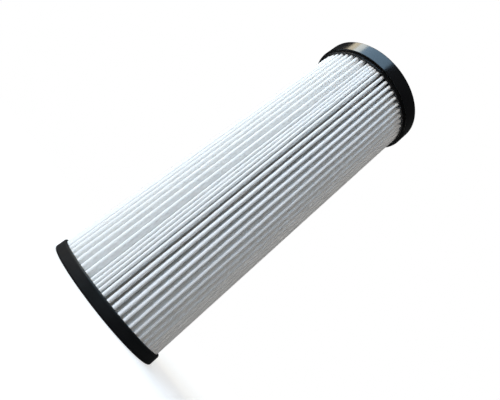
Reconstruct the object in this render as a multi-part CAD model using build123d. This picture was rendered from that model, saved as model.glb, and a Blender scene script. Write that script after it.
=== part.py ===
"""Cylindrical pleated filter cartridge for an upright vacuum cleaner.

The cartridge stands on its closed end cap, +Z up, with the origin at the centre of its base.
A pleated paper cylinder is bonded between two moulded caps, around a lattice core that keeps the
paper from collapsing inwards. Air passes from outside to inside and leaves through the open,
flanged cap at the top. All lengths are in millimetres.
"""

import os
from math import acos, atan2, cos, pi, sin

from build123d import *

# Overall sizes
overall_length = 210.0  # base to the flange's top face
cap_diameter = 75.6  # both caps, over the walls that hold the paper
bore_diameter = 44.0  # air outlet

# Pleated paper
pleat_count = 56
paper_thickness = 0.55
crest_radius = 1.05  # fold at the outside, on the outer face
root_radius = 0.75  # fold at the core, on the face towards the axis
crest_creases = 4  # flats that make up each rounded fold
root_creases = 2

# Moulded caps
cap_wall = 1.0
base_cap_height = 5.9
base_floor = 1.8
boss_height = 6.0  # hub that locates the core, above the cap's floor
boss_wall = 1.8
top_plate = 2.6
flange_rim_height = 10.0
flange_overhang = 1.5  # how far the rim stands out from the paper's skirt
skirt_drop = 1.6  # how far the skirt shows below the rim
collar_wall = 1.0
collar_length = 10.0  # outlet wall, below the top face
bore_lead_in = 0.8
corner_chamfer = 0.6  # outer corners of both caps

# Lattice core
core_wall = 1.3
core_columns = 9
core_rows = 3
core_rib = 3.0
core_hoop = 4.0
core_end_band = 10.0

# Adhesive and seal
adhesive_thickness = 1.6
seal_inner_diameter = 54.0
seal_width = 7.0
seal_thickness = 2.0
seal_recess = 1.2

# Clearances
paper_clearance = 0.2  # pleat crests to cap wall
core_clearance = 0.2  # core to hub and collar
root_clearance = 0.15  # pleat roots to core
seal_clearance = 0.15  # seal to the sides of its groove

# Radii and heights that follow from the sizes above
cap_radius = cap_diameter / 2
flange_radius = cap_radius + flange_overhang
bore_radius = bore_diameter / 2
wall_inner_radius = cap_radius - cap_wall
collar_radius = bore_radius + collar_wall
core_inner_radius = collar_radius + core_clearance
core_outer_radius = core_inner_radius + core_wall
boss_radius = core_inner_radius - core_clearance
crest_reach = wall_inner_radius - paper_clearance
root_reach = core_outer_radius + root_clearance
plate_underside = overall_length - top_plate
rim_bottom = overall_length - flange_rim_height
paper_bottom = base_floor + adhesive_thickness
paper_top = plate_underside - adhesive_thickness
paper_length = paper_top - paper_bottom


def turned(points, chamfered=()):
    """Solid of revolution about Z from a closed (radius, height) outline, with some corners chamfered."""
    outline = make_face(Polyline(*points, close=True))
    for corner in chamfered:
        outline = chamfer(outline.vertices().sort_by_distance(corner)[0], corner_chamfer)
    return revolve(Plane.XZ * outline, Axis.Z)


def tube(inner_radius, outer_radius, bottom, top):
    """Plain ring about Z between two heights."""
    return turned([(inner_radius, bottom), (outer_radius, bottom), (outer_radius, top), (inner_radius, top)])


def polar(radius, angle):
    return Vector(radius * cos(angle), radius * sin(angle))


def fold(centre, radius, start, end, creases):
    """Points of one rounded fold about its centre, evenly spaced from flank to flank."""
    turn = (end - start) / creases
    return [centre + polar(radius, start + turn * step) for step in range(creases + 1)]


def pleat_outline(crest_fold, root_fold):
    """Closed zigzag through every crest and root, as one face of the paper.

    Each flank is the crossing tangent from a crest's fold to the next root's fold.
    """
    crest_centre = crest_reach - crest_radius
    root_centre = root_reach + root_radius
    half_pitch = pi / pleat_count
    span = polar(root_centre, half_pitch) - polar(crest_centre, 0)
    # Direction from a crest's centre to where its flank leaves the fold
    leave = atan2(span.Y, span.X) - acos((crest_fold + root_fold) / span.length)
    points = []
    for pleat in range(pleat_count):
        middle = 2 * half_pitch * pleat
        trough = middle + half_pitch
        following = trough + half_pitch
        points += fold(polar(crest_centre, middle), crest_fold, middle - leave, middle + leave, crest_creases)
        points += fold(polar(root_centre, trough), root_fold, middle + leave + pi, following - leave + pi, root_creases)
    return Wire.make_polygon(points, close=True)


def pleated_media():
    """One strip of filter paper, folded into pleats and closed into a cylinder."""
    outside = pleat_outline(crest_radius, root_radius - paper_thickness)
    inside = pleat_outline(crest_radius - paper_thickness, root_radius)
    section = Face(outside, [inside])
    return extrude(Pos(0, 0, paper_bottom) * section, paper_length)


def inner_core():
    """Moulded lattice tube inside the pleats, with rows of tall windows."""
    core = tube(core_inner_radius, core_outer_radius, paper_bottom, paper_top)
    window_height = (paper_length - 2 * core_end_band - (core_rows - 1) * core_hoop) / core_rows
    middle_radius = (core_inner_radius + core_outer_radius) / 2
    window_width = 2 * middle_radius * sin(pi / core_columns) - core_rib
    cutter_depth = 2 * core_wall + core_outer_radius - core_inner_radius * cos(pi / core_columns)
    cutter = Box(cutter_depth, window_width, window_height, align=(Align.CENTER, Align.CENTER, Align.MIN))
    cutters = []
    for row in range(core_rows):
        sill = paper_bottom + core_end_band + row * (window_height + core_hoop)
        for column in range(core_columns):
            cutters.append(Rot(0, 0, 360 * column / core_columns) * Pos(middle_radius, 0, sill) * cutter)
    return core - cutters


def base_cap():
    """Closed cap: a shallow cup with a hollow hub that the core slips over."""
    boss_top = base_floor + boss_height
    recess_radius = boss_radius - boss_wall
    recess_top = boss_top - boss_wall
    outline = [
        (0, recess_top),
        (recess_radius, recess_top),
        (recess_radius, 0),
        (cap_radius, 0),
        (cap_radius, base_cap_height),
        (wall_inner_radius, base_cap_height),
        (wall_inner_radius, base_floor),
        (boss_radius, base_floor),
        (boss_radius, boss_top),
        (0, boss_top),
    ]
    return turned(outline, [(cap_radius, 0)])


def flange_cap():
    """Open cap: a top plate with a deep outer rim, the skirt round the paper and the outlet's collar."""
    skirt_bottom = rim_bottom - skirt_drop
    collar_bottom = overall_length - collar_length
    groove_inner_radius = seal_inner_diameter / 2 - seal_clearance
    groove_outer_radius = seal_inner_diameter / 2 + seal_width + seal_clearance
    groove_floor = overall_length - seal_recess
    outline = [
        (bore_radius, collar_bottom),
        (collar_radius, collar_bottom),
        (collar_radius, plate_underside),
        (wall_inner_radius, plate_underside),
        (wall_inner_radius, skirt_bottom),
        (cap_radius, skirt_bottom),
        (cap_radius, rim_bottom),
        (flange_radius, rim_bottom),
        (flange_radius, overall_length),
        (groove_outer_radius, overall_length),
        (groove_outer_radius, groove_floor),
        (groove_inner_radius, groove_floor),
        (groove_inner_radius, overall_length),
        (bore_radius + bore_lead_in, overall_length),
        (bore_radius, overall_length - bore_lead_in),
    ]
    return turned(outline, [(flange_radius, overall_length)])


def base_adhesive():
    """Bonding layer that holds the paper and the core to the closed cap."""
    return tube(boss_radius, wall_inner_radius, base_floor, paper_bottom)


def flange_adhesive():
    """Bonding layer that holds the paper and the core to the flanged cap."""
    return tube(collar_radius, wall_inner_radius, paper_top, plate_underside)


def seal_ring():
    """Flat rubber ring that stands proud of the flange's top face."""
    inner_radius = seal_inner_diameter / 2
    outer_radius = inner_radius + seal_width
    seat = overall_length - seal_recess
    return tube(inner_radius, outer_radius, seat, seat + seal_thickness)


pieces = {
    "pleated_media": pleated_media,
    "inner_core": inner_core,
    "base_cap": base_cap,
    "flange_cap": flange_cap,
    "base_adhesive": base_adhesive,
    "flange_adhesive": flange_adhesive,
    "seal_ring": seal_ring,
}

os.makedirs("parts", exist_ok=True)
for name, make in pieces.items():
    export_step(make(), f"parts/{name}.step")
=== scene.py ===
import math

import bpy
import numpy as np
from mathutils import Matrix, Vector


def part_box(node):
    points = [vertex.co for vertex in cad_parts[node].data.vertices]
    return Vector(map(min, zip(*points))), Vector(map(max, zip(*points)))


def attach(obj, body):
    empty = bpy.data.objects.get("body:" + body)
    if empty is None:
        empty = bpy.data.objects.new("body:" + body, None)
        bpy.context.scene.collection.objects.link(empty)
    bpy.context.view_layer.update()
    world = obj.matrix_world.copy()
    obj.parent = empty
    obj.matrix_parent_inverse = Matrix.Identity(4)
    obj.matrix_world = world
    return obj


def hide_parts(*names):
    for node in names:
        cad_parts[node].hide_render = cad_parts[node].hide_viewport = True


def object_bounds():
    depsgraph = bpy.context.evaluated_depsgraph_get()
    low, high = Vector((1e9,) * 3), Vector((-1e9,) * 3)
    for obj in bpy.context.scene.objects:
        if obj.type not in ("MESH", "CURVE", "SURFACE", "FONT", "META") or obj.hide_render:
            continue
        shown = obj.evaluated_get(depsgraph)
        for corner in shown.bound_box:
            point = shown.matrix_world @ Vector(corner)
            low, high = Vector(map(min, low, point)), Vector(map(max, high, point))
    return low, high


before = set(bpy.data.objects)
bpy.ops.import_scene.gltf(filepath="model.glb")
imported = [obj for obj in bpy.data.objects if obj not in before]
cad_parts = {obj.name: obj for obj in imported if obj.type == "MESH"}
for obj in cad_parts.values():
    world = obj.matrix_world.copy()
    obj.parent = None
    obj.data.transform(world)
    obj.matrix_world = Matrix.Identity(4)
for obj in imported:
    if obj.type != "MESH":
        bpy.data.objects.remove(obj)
cadLow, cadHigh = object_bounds()
mm = 0.001
fullTurn = 2 * math.pi
noTriangles = np.zeros((0, 3), int)
print("frame loaded,", len(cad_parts), "nodes, CAD box", list(cadLow), list(cadHigh))


# Mesh helpers

# An angle brought to within half a turn of zero.
def wrapAngle(angle):
    return (angle + math.pi) % fullTurn - math.pi


# Points (x, y) at a radius and an angle.
def polar(radius, angle):
    return np.stack([radius * np.cos(angle), radius * np.sin(angle)], -1)


# Angle of each (x, y) vector.
def direction(vector):
    return np.arctan2(vector[..., 1], vector[..., 0])


# Vectors scaled to a length of one.
def unit(vector):
    return vector / np.linalg.norm(vector, axis=-1, keepdims=True)


# Quads of a grid whose point (row, col) has the number row * cols + col.
# Columns join up into a ring, and wrapped rows join the last line to the first.
def gridQuads(rows, cols, wrapRows=False):
    row, col = np.meshgrid(np.arange(rows if wrapRows else rows - 1), np.arange(cols), indexing="ij")
    nextRow, nextCol = (row + 1) % rows, (col + 1) % cols
    corners = [row * cols + col, row * cols + nextCol, nextRow * cols + nextCol, nextRow * cols + col]
    return np.stack(corners, -1).reshape(-1, 4)


# Signed volume of a closed mesh: each face is fanned into triangles, and each triangle makes
# a tetrahedron with the origin. It is negative when the faces point inwards.
def signedVolume(points, faces):
    total = 0.0
    for second in range(1, faces.shape[1] - 1):
        a, b, c = points[faces[:, 0]], points[faces[:, second]], points[faces[:, second + 1]]
        total += np.einsum("ij,ij->i", a, np.cross(b, c)).sum() / 6
    return total


# Smooth-shaded mesh object from whole arrays, with its faces turned round if they point inwards.
def buildPiece(name, points, quads, triangles=noTriangles):
    if signedVolume(points, quads) + signedVolume(points, triangles) < 0:
        quads, triangles = quads[:, ::-1], triangles[:, ::-1]
    corners = np.concatenate([quads.ravel(), triangles.ravel()])
    starts = np.concatenate([np.arange(len(quads)) * 4, quads.size + np.arange(len(triangles)) * 3])
    mesh = bpy.data.meshes.new(name)
    mesh.vertices.add(len(points))
    mesh.vertices.foreach_set("co", points.astype(np.float32).ravel())
    mesh.loops.add(len(corners))
    mesh.loops.foreach_set("vertex_index", corners.astype(np.int32))
    mesh.polygons.add(len(starts))
    mesh.polygons.foreach_set("loop_start", starts.astype(np.int32))
    mesh.polygons.foreach_set("use_smooth", np.ones(len(starts), bool))
    mesh.update(calc_edges=True)
    mesh.validate()
    piece = bpy.data.objects.new(name, mesh)
    bpy.context.scene.collection.objects.link(piece)
    return piece


def placePiece(piece, node, material):
    piece.data.materials.append(material)
    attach(piece, "root")
    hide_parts(node)


# Closed (radius, height) outline from rows of (radius, height, rounding). Every corner becomes an arc
# tangent to its two sides, whose centre lies on the corner's bisector, rounding / sin(half the corner's
# angle) away. A holding point on each side keeps the shading of flat faces flat.
def roundedOutline(rows, steps=5, hold=0.12 * mm):
    corner, rounding = np.array(rows)[:, :2], np.array(rows)[:, 2]
    back, ahead = unit(np.roll(corner, 1, 0) - corner), unit(np.roll(corner, -1, 0) - corner)
    half = np.arccos(np.clip((back * ahead).sum(1), -1, 1)) / 2
    cut = (rounding / np.tan(half))[:, None]
    centre = corner + unit(back + ahead) * (rounding / np.sin(half))[:, None]
    start, end = corner + back * cut, corner + ahead * cut
    first = direction(start - centre)
    sweep = wrapAngle(direction(end - centre) - first)
    angle = first[:, None] + sweep[:, None] * np.linspace(0, 1, steps + 1)
    arcs = centre[:, None] + polar(rounding[:, None], angle)
    before, after = start + back * hold, end + ahead * hold
    return np.concatenate([before[:, None], arcs, after[:, None]], 1).reshape(-1, 2)


# An outline turned about Z: point (i, j) is outline point i at angle j. An open outline starts and ends
# on the axis, and each end becomes one pole point, closed with a fan of triangles.
def turnedSurface(outline, around, closed=True):
    angle = np.arange(around) * fullTurn / around
    body = outline if closed else outline[1:-1]
    ring = polar(body[:, :1], angle)
    points = np.dstack([ring, np.broadcast_to(body[:, 1:], ring.shape[:2])]).reshape(-1, 3)
    quads = gridQuads(len(body), around, wrapRows=closed)
    if closed:
        return points, quads, noTriangles
    poles = np.array([[0, 0, outline[0, 1]], [0, 0, outline[-1, 1]]])
    near = np.arange(around)
    far = near + (len(body) - 1) * around
    firstPole = np.full(around, len(points))
    fans = [np.stack([firstPole, np.roll(near, -1), near], -1),
            np.stack([firstPole + 1, far, np.roll(far, -1)], -1)]
    return np.concatenate([points, poles]), quads, np.concatenate(fans)


# Shader helpers

# Empty node group whose sockets are given as (label, kind) pairs.
def newGroup(name, inputs, outputs):
    group = bpy.data.node_groups.new(name, "ShaderNodeTree")
    for label, kind in inputs:
        group.interface.new_socket(label, in_out="INPUT", socket_type=kind)
    for label, kind in outputs:
        group.interface.new_socket(label, in_out="OUTPUT", socket_type=kind)
    return group, group.nodes.new("NodeGroupInput"), group.nodes.new("NodeGroupOutput")


# Settings are the node's own properties, and values are its input sockets by label.
def addNode(tree, kind, settings=None, **values):
    node = tree.nodes.new(kind)
    for key, value in (settings or {}).items():
        setattr(node, key, value)
    for label, value in values.items():
        node.inputs[label].default_value = value
    return node


def mathNode(tree, operation, first, second=None):
    node = addNode(tree, "ShaderNodeMath", {"operation": operation})
    for socket, value in zip(node.inputs, (first, second)):
        if isinstance(value, (int, float)):
            socket.default_value = value
        elif value is not None:
            tree.links.new(value, socket)
    return node.outputs[0]


def mapRange(tree, value, low, high, toLow, toHigh):
    node = addNode(tree, "ShaderNodeMapRange")
    tree.links.new(value, node.inputs["Value"])
    for label, number in zip(("From Min", "From Max", "To Min", "To Max"), (low, high, toLow, toHigh)):
        node.inputs[label].default_value = number
    return node.outputs[0]


# Each of the two colours is a tuple or the socket that gives it.
def mixColour(tree, factor, first, second):
    node = addNode(tree, "ShaderNodeMix", {"data_type": "RGBA"})
    tree.links.new(factor, node.inputs[0])
    for socket, value in ((node.inputs[6], first), (node.inputs[7], second)):
        if isinstance(value, tuple):
            socket.default_value = (*value, 1)
        else:
            tree.links.new(value, socket)
    return node.outputs[2]


def placeGroup(tree, group, vector, **values):
    node = addNode(tree, "ShaderNodeGroup", {"node_tree": group}, **values)
    tree.links.new(vector, node.inputs["Vector"])
    return node


def newMaterial(name):
    material = bpy.data.materials.new(name)
    material.use_nodes = True
    tree = material.node_tree
    return material, tree, tree.nodes["Principled BSDF"]


def addBump(tree, shader, height, strength, distance):
    bump = addNode(tree, "ShaderNodeBump", Strength=strength, Distance=distance)
    tree.links.new(height, bump.inputs["Height"])
    tree.links.new(bump.outputs["Normal"], shader.inputs["Normal"])


def objectPlace(tree):
    return addNode(tree, "ShaderNodeTexCoord").outputs["Object"]


# Effects that several materials share

grainMix = {"cells": 0.6, "noise": 0.4, "patchRange": (0.35, 0.65), "speckRange": (0.62, 0.72)}


# Moulded grain: fine cells and a softer noise give a height, a slow noise gives patches of more and
# less shine, and the peaks of the softer noise are specks. Scale and Patches are counts per metre.
def makeMouldGrain():
    group, entry, leave = newGroup(
        "mouldGrain",
        [("Vector", "NodeSocketVector"), ("Scale", "NodeSocketFloat"), ("Patches", "NodeSocketFloat")],
        [("Height", "NodeSocketFloat"), ("Patch", "NodeSocketFloat"), ("Speck", "NodeSocketFloat")])
    link = group.links.new
    cells = addNode(group, "ShaderNodeTexVoronoi", {"feature": "SMOOTH_F1"}, Smoothness=0.6)
    noise = addNode(group, "ShaderNodeTexNoise", Detail=3.0, Roughness=0.6)
    patch = addNode(group, "ShaderNodeTexNoise", Detail=4.0, Roughness=0.55)
    for node, scale in ((cells, "Scale"), (noise, "Scale"), (patch, "Patches")):
        link(entry.outputs["Vector"], node.inputs["Vector"])
        link(entry.outputs[scale], node.inputs["Scale"])
    pits = mathNode(group, "MULTIPLY", cells.outputs["Distance"], grainMix["cells"])
    swells = mathNode(group, "MULTIPLY", noise.outputs["Fac"], grainMix["noise"])
    link(mathNode(group, "ADD", pits, swells), leave.inputs["Height"])
    link(mapRange(group, patch.outputs["Fac"], *grainMix["patchRange"], 0.0, 1.0), leave.inputs["Patch"])
    link(mapRange(group, noise.outputs["Fac"], *grainMix["speckRange"], 0.0, 1.0), leave.inputs["Speck"])
    return group


feltMix = {"turns": (12.0, 68.0, -47.0), "stretch": 0.12, "strandWidth": 0.07, "cloudHeight": 0.2,
           "cloudRange": (0.3, 0.7)}


# Felted fibres: three noises, each stretched along its own direction and folded about its middle into
# thin ridges, laid over each other. Cloud is the uneven thickness of the sheet.
def makeFeltFibres():
    group, entry, leave = newGroup(
        "feltFibres",
        [("Vector", "NodeSocketVector"), ("Scale", "NodeSocketFloat"), ("Clouds", "NodeSocketFloat")],
        [("Height", "NodeSocketFloat"), ("Fibre", "NodeSocketFloat"), ("Cloud", "NodeSocketFloat")])
    link = group.links.new
    layered = None
    for turn in feltMix["turns"]:
        lay = addNode(group, "ShaderNodeMapping", Rotation=(0, 0, math.radians(turn)),
                      Scale=(1.0, feltMix["stretch"], 1.0))
        strand = addNode(group, "ShaderNodeTexNoise", Detail=2.0, Distortion=0.6)
        link(entry.outputs["Vector"], lay.inputs["Vector"])
        link(lay.outputs["Vector"], strand.inputs["Vector"])
        link(entry.outputs["Scale"], strand.inputs["Scale"])
        ridge = mathNode(group, "ABSOLUTE", mathNode(group, "SUBTRACT", strand.outputs["Fac"], 0.5))
        thin = mapRange(group, ridge, 0.0, feltMix["strandWidth"], 1.0, 0.0)
        layered = thin if layered is None else mathNode(group, "MAXIMUM", layered, thin)
    cloud = addNode(group, "ShaderNodeTexNoise", Detail=3.0, Roughness=0.5)
    link(entry.outputs["Vector"], cloud.inputs["Vector"])
    link(entry.outputs["Clouds"], cloud.inputs["Scale"])
    swells = mathNode(group, "MULTIPLY", cloud.outputs["Fac"], feltMix["cloudHeight"])
    link(mathNode(group, "ADD", layered, swells), leave.inputs["Height"])
    link(layered, leave.inputs["Fibre"])
    link(mapRange(group, cloud.outputs["Fac"], *feltMix["cloudRange"], 0.0, 1.0), leave.inputs["Cloud"])
    return group


mouldGrain = makeMouldGrain()
feltFibres = makeFeltFibres()


# Black plastic and rubber: the grain's patches move colour and roughness a little, specks of dust lie
# over them, and the grain's height is the bump.
def blackPlastic(name, look):
    material, tree, shader = newMaterial(name)
    grain = placeGroup(tree, mouldGrain, objectPlace(tree), Scale=look["grain"], Patches=look["patches"])
    tone = mixColour(tree, grain.outputs["Patch"], look["dark"], look["light"])
    specks = mathNode(tree, "MULTIPLY", grain.outputs["Speck"], look["speck"])
    tree.links.new(mixColour(tree, specks, tone, look["dust"]), shader.inputs["Base Color"])
    rough = mapRange(tree, grain.outputs["Patch"], 0.0, 1.0, look["smooth"], look["rough"])
    tree.links.new(rough, shader.inputs["Roughness"])
    shader.inputs["Specular IOR Level"].default_value = look["shine"]
    addBump(tree, shader, grain.outputs["Height"], look["bump"], look["relief"])
    return material


print("shared effects made")


# Pleated paper

paper = {
    "thickness": 0.55 * mm,
    "crestFold": 1.05 * mm,  # outside of a crest
    "rootFold": 0.75 * mm,  # side of a root that faces the core
    "rootClear": 0.15 * mm,
    "crestShare": 0.27,  # most that a fold takes of its gap
    "rootShare": 0.2,
    "tightest": 1.04,  # least root fold, in half thicknesses
    "pleats": 56,
    "seamAt": math.radians(-109.2),  # first of the close pleats where the strip's ends meet
    "seamGaps": (0.47, 0.47, 0.47, 0.62, 0.88, 0.88, 0.9, 0.89, 0.93),  # of a usual gap, seam onwards
    "spacingSpread": 0.05,
    "lean": math.radians(-3.2),  # turn of the pleats from base to flange
    "wander": math.radians(0.16),
    "wanderWaves": (0.6, 2.4),  # along a pleat
    "ripple": 0.5,  # share of a second, shorter wave
    "crestDrop": 0.28 * mm,  # most that a crest lies low
    "dropLevel": 0.6, "dropSwing": 0.4, "dropTurn": 3.0,
    "rows": 30, "crestSteps": 9, "rootSteps": 5, "flankSteps": 3,
    "liningShift": 0.05,  # moves the pattern of the inner face away from the outer one's
    "sharpEdge": math.radians(60),
    "seed": 11,
}


# Crests stand round the cylinder in uneven gaps, the close group first. With height, a crest's angle is
# its place plus a steady lean plus a wave and a shorter wave, and it drops below the outer circle by
# its own amount times a level plus a sine. A root lies halfway between two crests, on the inner circle.
def pleatFolds(setup, crestReach):
    rng = np.random.default_rng(setup["seed"])
    count, half = setup["pleats"], setup["thickness"] / 2
    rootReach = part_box("inner_core")[1].x + setup["rootClear"]
    gaps = 1 + setup["spacingSpread"] * rng.uniform(-1, 1, count)
    gaps[:len(setup["seamGaps"])] = setup["seamGaps"]
    gaps *= fullTurn / gaps.sum()
    narrower = np.minimum(gaps, np.roll(gaps, 1))  # of the two gaps beside a crest
    crestFold = np.minimum(setup["crestFold"] - half, setup["crestShare"] * narrower * crestReach)
    rootFold = np.minimum(setup["rootFold"] - half, setup["rootShare"] * gaps * rootReach)
    rootFold = np.maximum(rootFold, setup["tightest"] * half)
    share = np.linspace(0, 1, setup["rows"])[:, None]
    phase = rng.uniform(0, fullTurn, (2, count))
    waves = rng.uniform(*setup["wanderWaves"], (2, count))
    shorter = np.sin(2 * fullTurn * waves[1] * share + phase[1])
    sway = np.sin(fullTurn * waves[0] * share + phase[0]) + setup["ripple"] * shorter
    place = setup["seamAt"] + np.concatenate([[0], np.cumsum(gaps)[:-1]])
    crestAngle = place + setup["lean"] * share + setup["wander"] * sway
    swing = setup["dropLevel"] + setup["dropSwing"] * np.sin(setup["dropTurn"] * share + phase[1])
    drop = setup["crestDrop"] * rng.uniform(0, 1, count) * swing
    following = np.roll(crestAngle, -1, 1)
    following[:, -1] += fullTurn
    rootAngle = (crestAngle + following) / 2
    crest = polar(crestReach - half - crestFold - drop, crestAngle)
    root = polar(rootReach + half + rootFold, rootAngle)
    return (crest, crestFold, crestAngle), (root, rootFold, rootAngle)


# Angle at which the flank between a crest and a root leaves the crest's fold: the flank is the crossing
# tangent of the two folds, so it is the direction between their centres, turned to one side by
# arccos((crest radius + root radius) / distance).
def flankAngle(crest, root, crestFold, rootFold, side):
    span = root - crest
    return direction(span) - side * np.arccos((crestFold + rootFold) / np.linalg.norm(span, axis=-1))


# Evenly spaced angles of one fold, from one flank round past the fold's middle to the other flank.
def foldTurn(middle, start, end, steps):
    first, last = wrapAngle(start - middle), wrapAngle(end - middle)
    return (middle + first)[..., None] + (last - first)[..., None] * np.linspace(0, 1, steps + 1)


# Points evenly spaced on the straight line between two points, without the ends.
def flankPoints(start, end, steps):
    along = (np.arange(steps) + 1)[:, None] / (steps + 1)
    return start * (1 - along) + end * along


# The sheet's middle line at each height, as points and normals: for every pleat the crest's arc, the
# flank down, the root's arc and the flank up to the next crest.
def foldedLine(setup, crestReach):
    (crest, crestFold, crestAngle), (root, rootFold, rootAngle) = pleatFolds(setup, crestReach)
    ahead = flankAngle(crest, root, crestFold, rootFold, 1)
    behind = flankAngle(crest, np.roll(root, 1, 1), crestFold, np.roll(rootFold, 1), -1)
    crestTurn = foldTurn(crestAngle, behind, ahead, setup["crestSteps"])
    rootTurn = foldTurn(rootAngle, ahead, np.roll(behind, -1, 1), setup["rootSteps"]) + math.pi
    crestArc = crest[..., None, :] + polar(crestFold[:, None], crestTurn)
    rootArc = root[..., None, :] + polar(rootFold[:, None], rootTurn)
    crestNormal, rootNormal = polar(1.0, crestTurn), -polar(1.0, rootTurn)
    nextCrest = np.roll(crestArc[..., :1, :], -1, 1)
    down = flankPoints(crestArc[..., -1:, :], rootArc[..., :1, :], setup["flankSteps"])
    up = flankPoints(rootArc[..., -1:, :], nextCrest, setup["flankSteps"])
    downNormal = np.broadcast_to(crestNormal[..., -1:, :], down.shape)
    upNormal = np.broadcast_to(rootNormal[..., -1:, :], up.shape)
    middle = np.concatenate([crestArc, down, rootArc, up], 2)
    normal = np.concatenate([crestNormal, downNormal, rootNormal, upNormal], 2)
    return middle.reshape(setup["rows"], -1, 2), normal.reshape(setup["rows"], -1, 2)


# The sheet's two faces are a function of (place along the folded strip, height): they lie half
# a thickness either side of the middle line, along its normal.
def pleatedPaper(setup):
    low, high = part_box("pleated_media")
    middle, normal = foldedLine(setup, high.x)
    half = setup["thickness"] / 2
    height = low.z + (high.z - low.z) * np.linspace(0, 1, setup["rows"])[:, None]
    level = np.broadcast_to(height, middle.shape[:2])
    outer = np.dstack([middle + normal * half, level])
    inner = np.dstack([middle - normal * half, level])
    sheet = np.concatenate([outer, inner[::-1]])  # up the outer face, over the top and down the inner face
    quads = gridQuads(len(sheet), sheet.shape[1], wrapRows=True)
    piece = buildPiece("pleatedPaper", sheet.reshape(-1, 3), quads)
    piece.data.set_sharp_from_angle(angle=setup["sharpEdge"])
    # place on the flat sheet, for the fibres: length along the strip, height, and which face
    steps = np.linalg.norm(np.roll(middle, -1, 1) - middle, axis=-1)
    strip = np.cumsum(steps, 1) - steps
    outerPlace = np.dstack([strip, level, np.zeros_like(strip)])
    innerPlace = np.dstack([strip, level, np.full_like(strip, setup["liningShift"])])
    sheetPlace = np.concatenate([outerPlace, innerPlace[::-1]])
    attribute = piece.data.attributes.new("sheetPlace", "FLOAT_VECTOR", "POINT")
    attribute.data.foreach_set("vector", sheetPlace.astype(np.float32).ravel())
    return piece


paperLook = {"thin": (0.925, 0.95, 0.957), "thick": (0.955, 0.972, 0.978), "fibre": (0.975, 0.985, 0.988),
             "cover": 0.55, "rough": 0.95, "fibreRough": 0.8, "shine": 0.2,
             "fibres": 1100.0, "clouds": 150.0, "bump": 0.5, "relief": 0.08 * mm}


# White non-woven paper: clouds shift its tone, and fibres lie over it lighter, smoother and raised.
def filterPaper(look):
    material, tree, shader = newMaterial("filterPaper")
    place = addNode(tree, "ShaderNodeAttribute", {"attribute_name": "sheetPlace"}).outputs["Vector"]
    felt = placeGroup(tree, feltFibres, place, Scale=look["fibres"], Clouds=look["clouds"])
    tone = mixColour(tree, felt.outputs["Cloud"], look["thin"], look["thick"])
    cover = mathNode(tree, "MULTIPLY", felt.outputs["Fibre"], look["cover"])
    tree.links.new(mixColour(tree, cover, tone, look["fibre"]), shader.inputs["Base Color"])
    rough = mapRange(tree, felt.outputs["Fibre"], 0.0, 1.0, look["rough"], look["fibreRough"])
    tree.links.new(rough, shader.inputs["Roughness"])
    shader.inputs["Specular IOR Level"].default_value = look["shine"]
    addBump(tree, shader, felt.outputs["Height"], look["bump"], look["relief"])
    return material


placePiece(pleatedPaper(paper), "pleated_media", filterPaper(paperLook))
print("pleated paper made")


# Moulded caps

caps = {"around": 224, "wall": 1.0 * mm,
        "corner": 0.9 * mm, "lip": 0.85 * mm, "edge": 0.3 * mm, "fine": 0.12 * mm}  # roundings

baseCap = {"floor": 1.8 * mm, "rimHeight": 5.9 * mm, "hubRadius": 23.0 * mm, "hubWall": 1.8 * mm,
           "gateRadius": 1.6 * mm, "gateHeight": 0.35 * mm}  # gate: the moulding's sprue mark
capLook = {"dark": (0.006, 0.006, 0.0062), "light": (0.01, 0.01, 0.0104), "dust": (0.04, 0.04, 0.042),
           "speck": 0.12, "smooth": 0.42, "rough": 0.58, "shine": 0.5, "grain": 2600.0, "patches": 90.0,
           "bump": 0.25, "relief": 0.06 * mm}


# Cup with a hollow hub, turned from one outline that runs from the top of the hub on the axis, round
# the rim, to the gate in the recess on the axis.
def closedCap():
    low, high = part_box("base_cap")
    rim, wall = high.x, high.x - caps["wall"]
    floor, rimTop, hubTop = baseCap["floor"], baseCap["rimHeight"], high.z
    hub, recess = baseCap["hubRadius"], baseCap["hubRadius"] - baseCap["hubWall"]
    ceiling = hubTop - baseCap["hubWall"]
    gate, gateTip = baseCap["gateRadius"], ceiling - baseCap["gateHeight"]
    corner, lip, edge, fine = caps["corner"], caps["lip"], caps["edge"], caps["fine"]
    rows = [
        (hub, hubTop, corner),
        (hub, floor, edge),
        (wall, floor, edge),
        (wall, rimTop, fine),
        (rim, rimTop, lip),
        (rim, low.z, corner),
        (recess, low.z, edge),
        (recess, ceiling, edge),
        (gate, ceiling, fine),
        (gate, gateTip, fine),
        (0, gateTip, fine),
        (0, hubTop, fine),
    ]
    outline = roundedOutline(rows)
    onAxis = 2 * len(outline) // len(rows)  # the last two corners give way to plain points on the axis
    outline = np.concatenate([[(0, hubTop)], outline[:-onAxis], [(0, gateTip)]])
    return buildPiece("baseCap", *turnedSurface(outline, caps["around"], closed=False))


flangeCap = {"plate": 2.6 * mm, "rimHeight": 10.0 * mm, "skirtWidth": 75.6 * mm, "boreWidth": 44.0 * mm,
             "collarWall": 1.0 * mm, "collarLength": 10.0 * mm, "leadIn": 0.8 * mm,
             "grooveWidth": 7.3 * mm, "grooveDepth": 1.2 * mm, "grooveClear": 0.15 * mm}
flangeLook = {"dark": (0.006, 0.006, 0.0065), "light": (0.009, 0.009, 0.0095), "dust": (0.03, 0.03, 0.03),
              "speck": 0.12, "smooth": 0.12, "rough": 0.2, "shine": 0.5, "grain": 420.0, "patches": 70.0,
              "bump": 0.04, "relief": 0.05 * mm}


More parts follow.
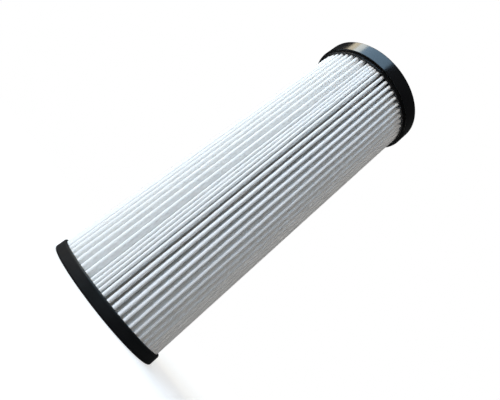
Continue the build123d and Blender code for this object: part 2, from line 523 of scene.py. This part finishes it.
# Plate with rim, skirt, outlet collar and the seal's groove, turned from one closed outline.
def openCap():
    low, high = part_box("flange_cap")
    rim, top = high.x, high.z
    skirt, bore = flangeCap["skirtWidth"] / 2, flangeCap["boreWidth"] / 2
    wall, collar = skirt - caps["wall"], bore + flangeCap["collarWall"]
    under, rimFoot = top - flangeCap["plate"], top - flangeCap["rimHeight"]
    collarFoot, leadIn = top - flangeCap["collarLength"], flangeCap["leadIn"]
    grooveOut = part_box("seal_ring")[1].x + flangeCap["grooveClear"]
    grooveIn, grooveFloor = grooveOut - flangeCap["grooveWidth"], top - flangeCap["grooveDepth"]
    corner, edge, fine = caps["corner"], caps["edge"], caps["fine"]
    rows = [
        (bore, collarFoot, edge),
        (collar, collarFoot, edge),
        (collar, under, edge),
        (wall, under, edge),
        (wall, low.z, edge),
        (skirt, low.z, edge),
        (skirt, rimFoot, edge),
        (rim, rimFoot, edge),
        (rim, top, corner),
        (grooveOut, top, fine),
        (grooveOut, grooveFloor, fine),
        (grooveIn, grooveFloor, fine),
        (grooveIn, top, fine),
        (bore + leadIn, top, edge),
        (bore, top - leadIn, edge),
    ]
    return buildPiece("flangeCap", *turnedSurface(roundedOutline(rows), caps["around"]))


placePiece(closedCap(), "base_cap", blackPlastic("capPlastic", capLook))
placePiece(openCap(), "flange_cap", blackPlastic("flangePlastic", flangeLook))
print("caps made")


# Seal ring

seal = {"width": 7.0 * mm, "round": 0.55 * mm, "foot": 0.15 * mm, "around": 192}
sealLook = {"dark": (0.014, 0.014, 0.014), "light": (0.022, 0.022, 0.022), "dust": (0.1, 0.1, 0.1),
            "speck": 0.35, "smooth": 0.7, "rough": 0.85, "shine": 0.3, "grain": 3200.0, "patches": 120.0,
            "bump": 0.3, "relief": 0.06 * mm}


# Flat ring turned from a rectangle, softly rounded on the face that seals.
def sealRing():
    low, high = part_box("seal_ring")
    inner = high.x - seal["width"]
    rows = [
        (inner, low.z, seal["foot"]),
        (high.x, low.z, seal["foot"]),
        (high.x, high.z, seal["round"]),
        (inner, high.z, seal["round"]),
    ]
    return buildPiece("sealRing", *turnedSurface(roundedOutline(rows), seal["around"]))


placePiece(sealRing(), "seal_ring", blackPlastic("sealRubber", sealLook))
print("seal made")


# Adhesive beds

bed = {"around": 448, "across": 40, "rise": 0.75 * mm, "lump": 0.35 * mm,
       "lumpLevel": 0.6, "lumpSwing": 0.4, "waves": 6, "waveCounts": (3, 40),  # round the ring
       "sharpEdge": math.radians(50), "seed": 5}
bedLook = {"deep": (0.62, 0.58, 0.5), "pale": (0.78, 0.76, 0.7), "smooth": 0.3, "rough": 0.45,
           "cells": 300.0, "clouds": 140.0, "bump": 0.3, "relief": 0.1 * mm}


# Flat ring whose free face swells towards the middle of its width, in slow lumps round the ring.
# With across from -1 at the inner edge to 1 at the wall, and lumps = level + swing * the sines' mean,
# swell = rise * (1 - across squared) * lumps + lump * (1 - across to the fourth) * (lumps - level).
def adhesiveBed(name, node, inner, upward):
    rng = np.random.default_rng(bed["seed"])
    low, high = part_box(node)
    angle = np.arange(bed["around"]) * fullTurn / bed["around"]
    across = np.linspace(-1, 1, bed["across"])[:, None]
    count = rng.integers(*bed["waveCounts"], bed["waves"])[:, None]
    phase = rng.uniform(0, fullTurn, bed["waves"])[:, None]
    lumps = bed["lumpLevel"] + bed["lumpSwing"] * np.sin(count * angle + phase).mean(0)
    crown = bed["rise"] * (1 - across ** 2) * lumps
    swell = crown + bed["lump"] * (1 - across ** 4) * (lumps - bed["lumpLevel"])
    free = high.z + swell if upward else low.z - swell
    seat = np.full_like(free, low.z if upward else high.z)
    ring = polar(inner + (high.x - inner) * (across + 1) / 2, angle)
    grid = np.concatenate([np.dstack([ring, free]), np.dstack([ring, seat])[::-1]])
    quads = gridQuads(len(grid), bed["around"], wrapRows=True)
    piece = buildPiece(name, grid.reshape(-1, 3), quads)
    piece.data.set_sharp_from_angle(angle=bed["sharpEdge"])
    return piece


# Cream adhesive: slow patches of deeper and paler colour, softly glossy, with shallow cells.
def setAdhesive(look):
    material, tree, shader = newMaterial("setAdhesive")
    grain = placeGroup(tree, mouldGrain, objectPlace(tree), Scale=look["cells"], Patches=look["clouds"])
    tone = mixColour(tree, grain.outputs["Patch"], look["deep"], look["pale"])
    tree.links.new(tone, shader.inputs["Base Color"])
    rough = mapRange(tree, grain.outputs["Patch"], 0.0, 1.0, look["smooth"], look["rough"])
    tree.links.new(rough, shader.inputs["Roughness"])
    addBump(tree, shader, grain.outputs["Height"], look["bump"], look["relief"])
    return material


adhesive = setAdhesive(bedLook)
baseBed = adhesiveBed("baseBed", "base_adhesive", baseCap["hubRadius"], True)
collarRadius = flangeCap["boreWidth"] / 2 + flangeCap["collarWall"]
flangeBed = adhesiveBed("flangeBed", "flange_adhesive", collarRadius, False)
placePiece(baseBed, "base_adhesive", adhesive)
placePiece(flangeBed, "flange_adhesive", adhesive)
print("adhesive beds made")


# Lattice core

core = {"wall": 1.3 * mm, "columns": 9, "rows": 3, "rib": 3.0 * mm, "hoop": 4.0 * mm, "endBand": 10.0 * mm,
        "windowSteps": 8, "ribSteps": 3, "bevel": 0.3 * mm, "bevelSegments": 2,
        "bevelAngle": math.radians(50), "sharpEdge": math.radians(40)}
coreLook = {"dark": (0.018, 0.018, 0.019), "light": (0.03, 0.03, 0.031), "dust": (0.07, 0.07, 0.07),
            "speck": 0.2, "smooth": 0.42, "rough": 0.55, "shine": 0.4, "grain": 1800.0, "patches": 60.0,
            "bump": 0.15, "relief": 0.05 * mm}


# Grid of the core: the angles and heights of its lines, which fall on the windows' edges, and for each
# cell whether it is solid. A window's angle is 2 * arcsin(sin(half the pitch) - half a rib / radius).
def coreGrid(low, high):
    pitch = fullTurn / core["columns"]
    middle = high.x - core["wall"] / 2
    window = 2 * math.asin(math.sin(pitch / 2) - core["rib"] / 2 / middle)
    acrossWindow = np.linspace(-window / 2, window / 2, core["windowSteps"] + 1)[:-1]
    acrossRib = np.linspace(window / 2, pitch - window / 2, core["ribSteps"] + 1)[:-1]
    column = np.concatenate([acrossWindow, acrossRib])
    angle = (np.arange(core["columns"])[:, None] * pitch + column).ravel()
    hoops = (core["rows"] - 1) * core["hoop"]
    tall = (high.z - low.z - 2 * core["endBand"] - hoops) / core["rows"]
    sill = low.z + core["endBand"] + np.arange(core["rows"]) * (tall + core["hoop"])
    height = np.concatenate([[low.z], np.stack([sill, sill + tall], -1).ravel(), [high.z]])
    openColumn = np.tile(np.arange(len(column)) < core["windowSteps"], core["columns"])
    openRow = np.arange(len(height) - 1) % 2 == 1
    return angle, height, ~(openRow[:, None] & openColumn)


# A tube whose solid cells have an outer and an inner face, with a wall to join the two wherever
# a cell's neighbour is missing.
def latticeCore():
    low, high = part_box("inner_core")
    angle, height, solid = coreGrid(low, high)
    lines, cols = len(height), len(angle)
    level = np.broadcast_to(height[:, None], (lines, cols))
    radii = (high.x, high.x - core["wall"])
    rings = [np.broadcast_to(polar(radius, angle), (lines, cols, 2)) for radius in radii]
    points = np.concatenate([np.dstack([ring, level]) for ring in rings]).reshape(-1, 3)
    toInner = lines * cols  # from a point of the outer shell to the one behind it
    cell = gridQuads(lines, cols).reshape(lines - 1, cols, 4)
    faces = [cell[solid], cell[solid][:, ::-1] + toInner]
    padded = np.pad(solid, ((1, 1), (0, 0)))
    # each side of a cell: its two corners, and whether the neighbour across it is missing
    sides = [((0, 1), ~padded[:-2]), ((2, 3), ~padded[2:]),
             ((1, 2), ~np.roll(solid, -1, 1)), ((3, 0), ~np.roll(solid, 1, 1))]
    for (first, second), missing in sides:
        edge = cell[solid & missing]
        a, b = edge[:, first], edge[:, second]
        faces.append(np.stack([b, a, a + toInner, b + toInner], -1))
    piece = buildPiece("latticeCore", points, np.concatenate(faces))
    bevel = piece.modifiers.new("softEdges", "BEVEL")
    bevel.width = core["bevel"]
    bevel.segments = core["bevelSegments"]
    bevel.limit_method = "ANGLE"
    bevel.angle_limit = core["bevelAngle"]
    piece.data.set_sharp_from_angle(angle=core["sharpEdge"])
    return piece


placePiece(latticeCore(), "inner_core", blackPlastic("corePlastic", coreLook))
print("core made")


# Floor, world and lights

studio = {"floorSize": 8.0, "floorDrop": 0.02 * mm, "floorColour": (0.6, 0.6, 0.6),
          "floorBounce": (0.1, 0.1, 0.1),  # colour that lights the object from below
          "floorLift": 0.62, "fadeFrom": 0.1, "fadeTo": 0.45,
          "ambient": 0.03, "ambientColour": (0.92, 0.97, 1.0), "lampDistance": 1.2}


def isBackground(tree):
    return addNode(tree, "ShaderNodeLightPath").outputs["Is Camera Ray"]


# Pale floor that keeps the shadow: light from the lamps plus a steady lift where it is seen.
# Farther off it passes into the backdrop's white.
def makeFloor():
    half = studio["floorSize"] / 2
    corners = [(-half, -half, 0), (half, -half, 0), (half, half, 0), (-half, half, 0)]
    mesh = bpy.data.meshes.new("floor")
    mesh.from_pydata(corners, [], [(0, 1, 2, 3)])
    floor = bpy.data.objects.new("floor", mesh)
    bpy.context.scene.collection.objects.link(floor)
    floor.location.z = -studio["floorDrop"]
    material, tree, shader = newMaterial("floorPaper")
    away = addNode(tree, "ShaderNodeVectorMath", {"operation": "LENGTH"})
    tree.links.new(objectPlace(tree), away.inputs[0])
    fade = mapRange(tree, away.outputs["Value"], studio["fadeFrom"], studio["fadeTo"], 0.0, 1.0)
    pale = mathNode(tree, "MULTIPLY", mathNode(tree, "SUBTRACT", 1.0, fade), isBackground(tree))
    shade = mixColour(tree, pale, studio["floorBounce"], studio["floorColour"])
    tree.links.new(shade, shader.inputs["Base Color"])
    shader.inputs["Roughness"].default_value = 1.0
    shader.inputs["Specular IOR Level"].default_value = 0.0
    shader.inputs["Emission Color"].default_value = (1, 1, 1, 1)
    lift = mapRange(tree, fade, 0.0, 1.0, studio["floorLift"], 1.0)
    tree.links.new(mathNode(tree, "MULTIPLY", isBackground(tree), lift), shader.inputs["Emission Strength"])
    mesh.materials.append(material)


# White where it is seen, and a faint cool light on the object.
def makeWorld():
    world = bpy.data.worlds.new("studioWorld")
    bpy.context.scene.world = world
    world.use_nodes = True
    tree = world.node_tree
    backdrop = tree.nodes["Background"]
    level = mapRange(tree, isBackground(tree), 0.0, 1.0, studio["ambient"], 1.0)
    tint = mixColour(tree, isBackground(tree), studio["ambientColour"], (1.0, 1.0, 1.0))
    tree.links.new(level, backdrop.inputs["Strength"])
    tree.links.new(tint, backdrop.inputs["Color"])


# Azimuth runs from the camera's side (-Y) towards +X, in degrees. Mirrored lamps show in the gloss.
lamps = {
    "softKey": {"azimuth": -52, "elevation": 6, "size": (0.5, 0.42), "power": 7.4,
                "colour": (0.99, 0.99, 1.0), "mirrored": False},
    "frontFill": {"azimuth": 4, "elevation": 6, "size": (0.45, 0.42), "power": 3.0,
                  "colour": (1.0, 0.93, 0.87), "mirrored": False},
    "leftPanel": {"azimuth": -92, "elevation": 4, "size": (1.9, 0.5), "power": 2.1,
                  "colour": (1.0, 0.97, 0.94), "mirrored": True},
    "skyWindow": {"azimuth": -53.5, "elevation": 44, "size": (1.2, 0.68), "power": 9.7,
                  "colour": (0.46, 0.73, 1.0), "mirrored": True},
    "creamWindow": {"azimuth": -91, "elevation": 44, "size": (0.46, 0.68), "power": 4.6,
                    "colour": (1.0, 0.88, 0.64), "mirrored": True},
    "backFill": {"azimuth": 124, "elevation": 10, "size": (0.6, 0.5), "power": 5.6,
                 "colour": (1.0, 0.98, 0.95), "mirrored": False},
    "farFill": {"azimuth": -165, "elevation": 10, "size": (0.6, 0.5), "power": 4.0,
                "colour": (0.95, 0.98, 1.0), "mirrored": False},
}


# Each lamp stands on a sphere round the middle of the object and faces it.
def makeLamps():
    aim = Vector((0, 0, cadHigh.z / 2))
    for name, setup in lamps.items():
        azimuth, elevation = math.radians(setup["azimuth"]), math.radians(setup["elevation"])
        flat = math.cos(elevation)
        back = Vector((math.sin(azimuth) * flat, -math.cos(azimuth) * flat, math.sin(elevation)))
        data = bpy.data.lights.new(name, "AREA")
        data.shape = "RECTANGLE"
        data.size, data.size_y = setup["size"]
        data.energy = setup["power"]
        data.color = setup["colour"]
        lamp = bpy.data.objects.new(name, data)
        bpy.context.scene.collection.objects.link(lamp)
        lamp.location = aim + back * studio["lampDistance"]
        lamp.rotation_mode = "QUATERNION"
        lamp.rotation_quaternion = back.to_track_quat("Z", "Y")
        lamp.visible_camera = False
        lamp.visible_glossy = setup["mirrored"]


makeFloor()
makeWorld()
makeLamps()
print("studio made")


# Camera

viewpoint = {
    "place": (0.0, -234.31 * mm, 23.7 * mm),
    "aim": (-3.66 * mm, 0.0, 120.66 * mm),  # shows at the picture's optical centre
    "roll": -51.619,  # degrees
    "focal": 409.17,  # pixels, as are the next two
    "centre": (271.19, 162.64),
    "image": (500, 400),
    "sensor": 36.0,  # millimetres
    "near": 0.01, "far": 50.0,  # metres
}


# The camera looks from place to aim and is rolled about that line. Its shift puts the optical centre
# where the picture has it.
def makeCamera():
    width, depth = viewpoint["image"]
    centreX, centreY = viewpoint["centre"]
    data = bpy.data.cameras.new("camera")
    data.sensor_fit = "HORIZONTAL"
    data.sensor_width = viewpoint["sensor"]
    data.lens = viewpoint["focal"] / width * viewpoint["sensor"]
    data.shift_x = (width / 2 - centreX) / width
    data.shift_y = (centreY - depth / 2) / width
    data.clip_start = viewpoint["near"]
    data.clip_end = viewpoint["far"]
    camera = bpy.data.objects.new("camera", data)
    bpy.context.scene.collection.objects.link(camera)
    place, aim = Vector(viewpoint["place"]), Vector(viewpoint["aim"])
    forward = (aim - place).normalized()
    side = forward.cross(Vector((0, 0, 1))).normalized()
    level = side.cross(forward)
    roll = math.radians(viewpoint["roll"])
    up = level * math.cos(roll) + side * math.sin(roll)
    right = forward.cross(up)
    turn = Matrix((right, up, -forward)).transposed().to_4x4()
    camera.matrix_world = Matrix.Translation(place) @ turn
    bpy.context.scene.camera = camera


makeCamera()
bpy.context.scene.view_settings.view_transform = "Standard"
print("camera set")
